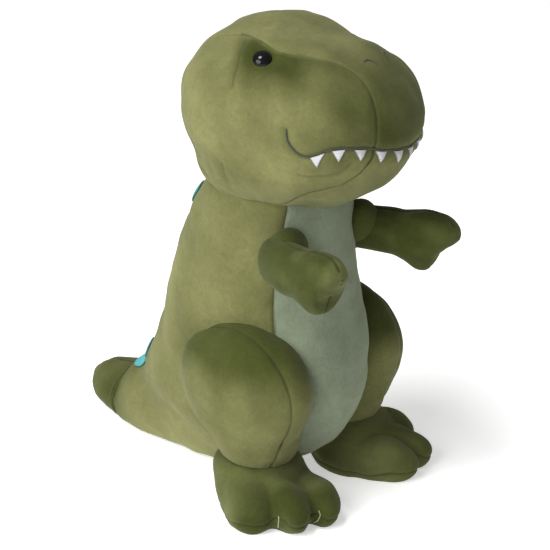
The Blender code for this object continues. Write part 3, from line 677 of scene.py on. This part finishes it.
def sheet_object(name, grid, thickness, material, body, replaced):
    """A small sewn-on piece from a grid of points (rows, columns, 3), given a thickness."""
    rows, columns = grid.shape[:2]
    index = np.arange(rows * columns).reshape(rows, columns)
    corners = [index[:-1, :-1], index[:-1, 1:], index[1:, 1:], index[1:, :-1]]
    quads = np.stack(corners, -1).reshape(-1, 4)
    mesh = bpy.data.meshes.new(name)
    mesh.from_pydata(((grid.reshape(-1, 3) - (0, FORWARD, 0)) * MM).tolist(), [], quads.tolist())
    mesh.shade_smooth()
    seam = mesh.attributes.new("seam", "FLOAT", "POINT")
    u, v = np.meshgrid(np.linspace(-1, 1, rows), np.linspace(-1, 1, columns), indexing="ij")
    edge = np.maximum(np.abs(u), np.abs(v)).ravel() ** 10 * 0.7
    seam.data.foreach_set("value", edge.astype(np.float32))
    mesh.materials.append(material)
    obj = bpy.data.objects.new(name, mesh)
    bpy.context.scene.collection.objects.link(obj)
    solid = obj.modifiers.new("thickness", "SOLIDIFY")
    solid.thickness, solid.offset = thickness * MM, 0
    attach(obj, body)
    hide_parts(*replaced)
    return obj


def make_face(skin):
    """Mouth, teeth, nostrils and eyes, laid on the head's skin."""
    line = on_skin(skin, mouth_line(150), 0.15)
    strand("mouth_embroidery", line, 0.44, MOUTH_THREAD, "head", ["mouth_line"])
    heights = sorted((across, over) for over, across in mouth_route())
    for number, across in enumerate(TOOTH_ANGLES, 1):
        across *= TOOTH_STRETCH
        share, wide = np.linspace(0, 1, 15), np.linspace(-1, 1, 17)
        here = head_point(through(heights, np.array([across])), across)[0]
        beside = head_point(through(heights, np.array([across])), across + 1)[0]
        half = TOOTH_WIDTH / 2 / np.linalg.norm(beside - here)
        outward = unit(here - HEAD_MIDDLE)
        tip = here + TOOTH_HEIGHT * unit(outward * outward[2] - (0, 0, 1))
        top = head_point(through(heights, across + wide * half) - 0.7, across + wide * half)
        grid = []
        for low in share:
            narrow = here + (top - here) * max(1 - low, 0.03) + (tip - here) * low
            crown = 0.25 + 0.3 * (1 - wide**2) * min(1, 3 * (1 - low))
            placed = on_skin(skin, narrow, 0)
            grid.append(placed + unit(placed - HEAD_MIDDLE) * crown[:, None])
        grid = np.array(grid)
        sheet_object(f"tooth_satin_{number}", grid, 0.35, TOOTH, "head",
                     [f"tooth_{number}"])
        border = np.vstack([grid[:, 0], grid[-1, -1:], grid[::-1, -1]])
        strand(f"tooth_border_{number}", border, 0.28, TOOTH_EDGE, "head")
    for sign, word in ((-1, "right"), (1, "left")):
        arc = smooth_curve(NOSTRIL, np.linspace(0, len(NOSTRIL) - 1, 14))
        points = on_skin(skin, head_point(arc[:, 0], sign * arc[:, 1]), 0.12)
        strand("nostril_thread_" + word, points, 0.55, MOUTH_THREAD, "head",
               ["nostril_" + word], taper=True)
        make_eye(sign, word)


def make_eye(sign, word):
    """A moulded eye: a dome, its rim and the shank that goes through the fabric."""
    over, across = EYE_SPOT[0], sign * EYE_SPOT[1]
    step = head_point([over - 1, over + 1, over, over], [across, across, across - 1, across + 1])
    normal = np.cross(step[1] - step[0], step[3] - step[2])
    here = head_point(over, across)[0]
    normal *= np.sign(normal @ (here - HEAD_MIDDLE)) / np.linalg.norm(normal)
    turn = np.linspace(0, 2 * np.pi, 64, endpoint=False)
    x = np.cross((0, 0, 1.0), normal)
    x /= np.linalg.norm(x)
    y = np.cross(normal, x)
    profile = [(EYE_RADIUS * math.sin(t), EYE_HEIGHT * math.cos(t))
               for t in np.radians(np.linspace(3, 90, 26))]
    profile += [(EYE_RADIUS + 0.12, -0.25), (EYE_RADIUS - 0.3, -0.6), (1.3, -0.7), (1.2, -6.4)]
    base = here - normal * EYE_DEPTH
    circle = np.cos(turn)[:, None] * x + np.sin(turn)[:, None] * y
    rings = [base + normal * h + r * circle for r, h in profile]
    ends = [base + normal * EYE_HEIGHT, base - normal * 6.5]
    shape = Skin(len(profile), 64, np.vstack(rings), np.array(ends))
    mesh = bpy.data.meshes.new("eye_dome_" + word)
    mesh.from_pydata(((shape.points - (0, FORWARD, 0)) * MM).tolist(), [], shape.faces())
    mesh.shade_smooth()
    mesh.materials.append(EYE)
    obj = bpy.data.objects.new("eye_dome_" + word, mesh)
    bpy.context.scene.collection.objects.link(obj)
    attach(obj, "head")
    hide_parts("eye_" + word)


# ---------------------------------------------------------------- body, tail and spots
def section_middle(at):
    """Middle of the body's section at a station."""
    return body_point(np.full(8, at), np.arange(8) * 45.0).mean(0)


def body_shade_and_tone(points):
    """Painted light low on the flanks, which face the bright floor; darker towards the tail's tip."""
    towards_tip = smoothstep(62, 108, points[:, 1])
    low = smoothstep(40, 15, points[:, 2]) * (1 - towards_tip)
    return 0.36 + 0.08 * waves(points, 40, 8) - 0.3 * low + 0.42 * towards_tip


def sink_at_tail_seam(skin, angles):
    """A shallow dip on either side of the seam where the tail's tip is sewn on."""
    crease = np.linalg.norm(skin.rest - body_point(np.full(len(angles), TAIL_SEAM), angles), axis=1)
    skin.push(-0.3 * np.exp(-(crease / 4.0) ** 2))


def body_skin():
    """The body's two side panels, pale belly and base, as one skin up into the neck."""
    at = np.concatenate([np.linspace(-NECK, -0.4, 16, endpoint=False),
                         np.linspace(-0.4, BELLY_END, 150, endpoint=False),
                         np.linspace(BELLY_END, TAIL_SEAM - 0.04, 70),
                         TAIL_SEAM - 0.03 * np.linspace(1, 0, 5)])
    front = np.sin(np.linspace(-np.pi / 2, np.pi / 2, 45))
    side = near_ends(66)
    rows = []
    for station in at:
        edge = through(BELLY_WIDTH, np.array([station]))[0]
        left = edge + side[1:] * (180 - edge)
        rows.append(np.concatenate([front * edge, left, -left[-2::-1]]))
    angles = np.array(rows)
    stations = np.repeat(at[:, None], angles.shape[1], 1)
    points = body_point(stations.ravel(), angles.ravel())
    ends = np.stack([section_middle(at[0]), section_middle(at[-1])])
    skin = Skin(len(at), angles.shape[1], points, ends)
    stations = np.concatenate([stations.ravel(), [at[0], at[-1]]])
    angles = np.concatenate([angles.ravel(), [0, 0]])
    edge = through(BELLY_WIDTH, stations)
    seam_line = body_point(stations, np.where(angles < 0, -1, 1) * edge)
    away = np.linalg.norm(skin.rest - seam_line, axis=1)
    cross = distance_to(skin.rest, body_point(np.full(30, BELLY_END), np.linspace(-33, 33, 30)))
    back = np.linalg.norm(skin.rest - body_point(stations, np.full(len(angles), 180.0)), axis=1)
    held = (away < HELD) | (back < HELD) | (cross < HELD)
    held = held | (stations < 0.2) | (stations > 10.6) | (skin.rest[:, 2] < 3)
    skin.inflate(skin.rest[held][::4])
    skin.groove(away, dark=0.5)
    skin.groove(np.where(np.abs(angles) < edge + 1, cross, 99), dark=0.5, puff=0.1)
    skin.groove(back)
    for sign in (-1, 1):
        shoulder = np.array((sign * 30, -26, 134.0))
        skin.push(1.8 * np.exp(-(np.linalg.norm(skin.rest - shoulder, axis=1) / 13) ** 2))
        hip = Form(THIGH_CENTRE, THIGH_SHAPES, FORM_BLEND, sign)
        reach = np.linalg.norm((skin.rest - hip.shapes[0][0]) / hip.shapes[0][1], axis=1)
        skin.push(-1.2 * np.exp(-((reach - 1.0) / 0.09) ** 2))
    skin.soften(21, 0.45)
    sink_at_tail_seam(skin, angles)
    skin.tone = body_shade_and_tone(skin.rest)
    pale = len(front)

    def zones(quads):
        """1 for the belly's faces, which are pale, and 0 elsewhere."""
        column, row = quads.min(1) % skin.around, quads.min(1) // skin.around
        front_row = at[np.minimum(row, len(at) - 1)] < BELLY_END - 0.01
        return ((column < pale - 1) & (quads.max(1) % skin.around < pale) & front_row).astype(int)

    hidden = ["belly_panel", "base_panel", "body_side_panel_right", "body_side_panel_left",
              "body_stuffing"]
    skin.build("body_skin", [GREEN, PALE], ("torso", "head", (0, 0, 146), (0, 0, 157)),
               hidden, zones=zones)
    return skin


def tail_skin():
    """The tail's tip, from the seam where it is sewn on to its rounded end."""
    at = np.concatenate([TAIL_SEAM + 0.03 * np.linspace(0, 1, 5),
                         np.linspace(TAIL_SEAM + 0.05, 14.6, 80), np.linspace(14.6, 15, 14)[1:]])
    half = near_ends(60)[1:] * 180
    angles = np.tile(np.concatenate([[0], half, -half[-2::-1]]), (len(at), 1))
    stations = np.repeat(at[:, None], angles.shape[1], 1)
    ends = np.stack([section_middle(at[0]), section_middle(at[-1])])
    skin = Skin(len(at), angles.shape[1], body_point(stations.ravel(), angles.ravel()), ends)
    stations = np.concatenate([stations.ravel(), [at[0], at[-1]]])
    angles = np.concatenate([angles.ravel(), [0, 0]])
    for line in (0.0, 180.0):
        away = np.linalg.norm(skin.rest - body_point(stations, np.full(len(angles), line)), axis=1)
        skin.groove(away)
    skin.soften(21, 0.45)
    sink_at_tail_seam(skin, angles)
    skin.tone = body_shade_and_tone(skin.rest)
    skin.build("tail_skin", GREEN, ("torso", "tail", (0, 101, 16), (0, 108, 16)),
               ["tail_panel_right", "tail_panel_left", "tail_stuffing"])


def make_spots(skin):
    """Round patches laid on the back, each slightly domed."""
    for number, (at, angle, radius) in enumerate(SPOTS, 1):
        here = body_point(np.array([at, at + 0.1, at]), np.array([angle, angle, angle + 1.0]))
        per_station = np.linalg.norm(here[1] - here[0]) / 0.1
        per_degree = np.linalg.norm(here[2] - here[0])
        u, v = np.meshgrid(np.linspace(-1, 1, 25), np.linspace(-1, 1, 25), indexing="ij")
        x, y = u * np.sqrt(1 - v * v / 2), v * np.sqrt(1 - u * u / 2)
        out = np.hypot(x, y).ravel()
        points = body_point(at + 1.15 * radius * y.ravel() / per_station,
                            angle + radius * x.ravel() / per_degree)
        points = on_skin(skin, points, 0.45)
        normal = points - body_point(np.full(len(out), at), np.full(len(out), angle), -20)
        normal /= np.linalg.norm(normal, axis=1)[:, None]
        points = points + normal * (0.5 * np.sqrt(np.maximum(1 - out**2.4, 0)))[:, None]
        sheet_object(f"spot_patch_{number}", points.reshape(25, 25, 3), 0.9, TEAL, "torso",
                     [f"back_spot_{number}"])


# ---------------------------------------------------------------- arms
def arm_skin(sign, word):
    """An arm with its turned-down hand, and the small pad that it grows from."""
    spread, droop = math.radians(ARM_SPREAD), math.radians(ARM_DROOP[sign > 0])
    level, upright = np.array((sign * math.sin(spread), -math.cos(spread), 0)), np.array((0, 0, 1))
    along = math.cos(droop) * level - math.sin(droop) * upright
    lifted = math.sin(droop) * level + math.cos(droop) * upright
    aside = np.array((math.cos(spread), sign * math.sin(spread), 0))
    shoulder = np.array(mirrored(SHOULDER, sign), float)
    raised = [(a, b + ARM_RAISE, c, d + ARM_RAISE, w) for a, b, c, d, w in ARM_STATIONS]
    last = len(raised) - 1
    at = np.concatenate([np.linspace(0, 0.5, 12), np.linspace(0.5, last - 1, 90)[1:],
                         np.linspace(last - 1, last, 26)[1:]])
    half = near_ends(46)[1:] * 180
    ring = np.concatenate([[0], half, -half[-2::-1]])
    angles = np.tile(ring, (len(at), 1))
    stations = np.repeat(at[:, None], angles.shape[1], 1)

    def arm_point(station, angle):
        """A point in the arm's own axes: aside, along and up."""
        return loft_point(raised, station, angle) - (0, 0, ARM_RAISE)

    def place(q):
        """Points in the arm's own axes, brought to the shoulder."""
        return shoulder + q[:, 0:1] * aside + q[:, 1:2] * along + q[:, 2:3] * lifted

    flat = arm_point(stations.ravel(), angles.ravel())
    ends = np.stack([arm_point(np.full(8, s), np.arange(8) * 45.0).mean(0) for s in (0, last)])
    skin = Skin(len(at), angles.shape[1], place(flat), place(ends))
    local = np.vstack([flat, ends])
    stations = np.concatenate([stations.ravel(), [0, last]])
    for line in (0.0, 180.0):
        away = np.linalg.norm(local - arm_point(stations, np.full(len(stations), line)), axis=1)
        skin.groove(away + 9 * smoothstep(last - 1.6, last - 0.6, stations))
    wrist = distance_to(local, np.array([(-9, 27, -15.0), (-6, 25, -4), (-2, 24, 6)]))
    skin.push(-0.5 * np.exp(-(wrist / 3.0) ** 2))
    skin.soften(31 + sign, 0.5)
    # Painted shade: the arm takes the full dark colour and the hand is lighter, less so on the far left
    # arm, which is painted into the head's shadow.
    hand = (0.55, 0.25)[sign > 0] * smoothstep(33, 40, local[:, 1])
    skin.tone = 1.0 - hand + 0.1 * waves(local, 16, 2)
    root = smoothstep(9, -8, local[:, 1])
    skin.points = skin.points + root[:, None] * np.array((-sign * 6.0, 7.5, -0.5))
    bend = ("torso", "arm_" + word, tuple(shoulder - along * 10), tuple(shoulder + along * 5))
    skin.build("arm_skin_" + word, GREEN_SHADED, bend,
               [f"arm_{k}_{word}" for k in ("outer_panel", "inner_panel", "stuffing")])
    lobe = Form((sign * 27, -29, 136), [((sign * 27, -29, 136), (10, 8.5, 10)),
                                        ((sign * 29, -23, 130), (8.5, 9, 10))], 4)
    rings, around = 40, 64
    directions = ball_directions(np.linspace(-86, 86, rings), around)
    pad = Skin(rings, around, lobe.point(directions), lobe.point(POLES))
    pad.soften(41, 0.3)
    # Painted shade: nearly the full dark colour, like the arm.
    pad.tone = np.full(len(pad.points), 0.9)
    pad.build("shoulder_pad_" + word, GREEN_SHADED, "torso", [])


# ---------------------------------------------------------------- legs and feet
def thigh_skin(sign, word):
    """A leg down to its flat ankle seam."""
    form = Form(THIGH_CENTRE, THIGH_SHAPES, FORM_BLEND, sign)
    over = np.linspace(0, 360, 220, endpoint=False)
    low = 1 - np.cos(np.linspace(0, np.pi / 2, 52))
    outer = THIGH_SEAM + low * (LAST_RING - THIGH_SEAM)
    inner = THIGH_SEAM - low[1:] * (LAST_RING + THIGH_SEAM)
    across = np.concatenate([inner[::-1], outer]) * sign
    turn, reach = np.tile(over, len(across)), np.repeat(across, len(over))
    ends = np.array([across[0], across[-1]]) * 90 / LAST_RING
    skin = Skin(len(across), len(over), form.point(direction_over(turn, reach)),
                form.point(direction_over(np.zeros(2), ends)))
    seam = form.point(direction_over(np.concatenate([turn, [0, 0]]),
                                     np.full(len(skin.rest), sign * THIGH_SEAM)))
    away = np.linalg.norm(skin.rest - seam, axis=1)
    skin.inflate(skin.rest[(away < HELD) | (skin.rest[:, 2] < 30)][::4])
    skin.groove(away, depth=0.5, dark=0.6)
    skin.soften(51 + sign, 0.45)
    p = skin.rest
    skin.push(0.3 * np.exp(-((p[:, 2] - 36) / 6) ** 2) * waves(p * (1, 1, 2.2), 20, 57))
    skin.points[:, 2] = np.maximum(skin.points[:, 2], LEG_END)
    skin.tone = 0.46 + 0.60 * smoothstep(60, 86, p[:, 2]) + 0.04 * waves(p, 26, 9)
    skin.build("thigh_skin_" + word, GREEN, "leg_" + word,
               [f"thigh_{k}_{word}" for k in ("outer_panel", "inner_panel", "stuffing")])


def splayed(points, sign):
    """A foot's points, turned outwards about the ankle."""
    ankle = np.array(mirrored(ANKLE_PIVOT, sign))
    return ankle + (points - ankle) @ about_z(sign * FOOT_SPLAY)


def foot_skin(sign, word):
    """A foot with three toes, its sole seam and the two stitches between the toes."""
    form = Form(FOOT_CENTRE, FOOT_SHAPES, FORM_BLEND, sign)
    around, rings = 260, 110
    t = np.linspace(-1, 1, rings)
    directions = ball_directions(89.0 * t * (0.38 + 0.62 * t * t), around)
    skin = Skin(rings, around, form.point(directions), form.point(POLES))
    from_ankle = skin.points - mirrored(ANKLE_PIVOT, sign)
    near = smoothstep(30, 17, np.hypot(from_ankle[:, 0], from_ankle[:, 1]))
    near = near * smoothstep(9, 26, skin.points[:, 2])
    skin.points = skin.points + near[:, None] * from_ankle * (0.16, 0.30, 0)
    skin.points[:, 2] = np.minimum(skin.points[:, 2], FOOT_END)
    skin.rest = skin.points.copy()
    p = skin.rest
    front = smoothstep(-34, -46, p[:, 1])
    valley = np.zeros(len(p))
    for x in TOE_VALLEYS:
        valley = valley + np.exp(-((p[:, 0] - sign * x) / 3.0) ** 2)
    skin.push(-1.3 * valley * smoothstep(-38, -52, p[:, 1]) * smoothstep(22, 10, p[:, 2]))
    # Painted shade in the valleys between the toes.
    skin.seam = np.maximum(skin.seam, 0.25 * valley**4 * front * smoothstep(18, 12, p[:, 2]))
    seam_height = 3.6 + 2.6 * front + 3.0 * valley * front
    away = (p[:, 2] - seam_height) * 0.95
    skin.groove(away, dark=0.6)
    skin.soften(61 + sign, 0.5)
    skin.tone = (0.68, 0.40)[sign > 0] + 0.3 * smoothstep(-40, -52, p[:, 1]) + 0.1 * waves(p, 22, 4)
    skin.points = splayed(skin.points, sign)
    skin.rest = splayed(skin.rest, sign)
    skin.build("foot_skin_" + word, GREEN_SHADED, "foot_" + word,
               [f"foot_{k}_{word}" for k in ("upper", "sole", "stuffing")])
    for number, x in enumerate(TOE_VALLEYS, 1):
        aside = math.atan2(sign * x - form.centre[0], 24)
        steep = np.radians(np.linspace(9, -7, 12))
        directions = direction_round(aside - math.pi / 2, steep)
        route = on_skin(skin, splayed(form.point(directions), sign), 0.15)
        route = route[route[:, 2] > 0.5]
        strand(f"toe_thread_{number}_{word}", route, 0.28, LIGHT_THREAD, "foot_" + word,
               [f"toe_stitch_{number}_{word}"])


# ---------------------------------------------------------------- stage
CAMERA_LENS = 130.9
CAMERA_TURN = -49       # degrees round the toy; negative is on its right
CAMERA_RISE = 22
CAMERA_TARGET = (0, 3.3, 106)


def area_light(name, place, look, size, power):
    """A round lamp at a place in metres, turned to look at another."""
    data = bpy.data.lights.new(name, "AREA")
    data.shape, data.size, data.energy = "DISK", size, power
    light = bpy.data.objects.new(name, data)
    light.location = place
    light.rotation_euler = (Vector(look) - Vector(place)).to_track_quat("-Z", "Y").to_euler()
    bpy.context.scene.collection.objects.link(light)


def make_stage():
    """White floor, studio light from the toy's right and above, and the camera."""
    mesh = bpy.data.meshes.new("floor")
    mesh.from_pydata([(-3, -3, 0), (3, -3, 0), (3, 3, 0), (-3, 3, 0)], [], [(0, 1, 2, 3)])
    floor = bpy.data.objects.new("floor", mesh)
    bpy.context.scene.collection.objects.link(floor)
    material = bpy.data.materials.new("floor_white")
    material.use_nodes = True
    shader = material.node_tree.nodes["Principled BSDF"]
    shader.inputs["Base Color"].default_value = (0.95, 0.95, 0.95, 1)
    shader.inputs["Roughness"].default_value = 0.9
    shader.inputs["Emission Color"].default_value = (1, 1, 1, 1)
    shader.inputs["Emission Strength"].default_value = 0.45
    mesh.materials.append(material)
    world = bpy.data.worlds.new("studio")
    bpy.context.scene.world = world
    world.use_nodes = True
    background = world.node_tree.nodes["Background"]
    background.inputs["Color"].default_value = (1, 1, 1, 1)
    background.inputs["Strength"].default_value = 0.28
    area_light("key", (-1.3, 0.05, 0.8), (0, 0, 0.1), 1.2, 23)
    area_light("top", (-0.5, 0.1, 1.5), (0, 0, 0.1), 0.45, 12)
    bpy.context.scene.view_settings.view_transform = "Standard"
    camera_data = bpy.data.cameras.new("camera")
    camera_data.lens, camera_data.sensor_width = CAMERA_LENS, 36
    camera_data.clip_end = 50
    camera = bpy.data.objects.new("camera", camera_data)
    turn, rise = math.radians(CAMERA_TURN), math.radians(CAMERA_RISE)
    back = Vector(direction_round(turn - math.pi / 2, rise))
    target = Vector(to_row(CAMERA_TARGET))
    camera.location = target + back
    camera.rotation_euler = back.to_track_quat("Z", "Y").to_euler()
    bpy.context.scene.collection.objects.link(camera)
    bpy.context.scene.camera = camera


head = head_skin()
make_face(head)
body = body_skin()
tail_skin()
make_spots(body)
for side_sign, side_word in ((-1, "right"), (1, "left")):
    arm_skin(side_sign, side_word)
    thigh_skin(side_sign, side_word)
    foot_skin(side_sign, side_word)
    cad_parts["eye_washer_" + side_word].data.materials[0] = WASHER
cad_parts["pellet_pouch"].data.materials[0] = CLOTH
make_stage()
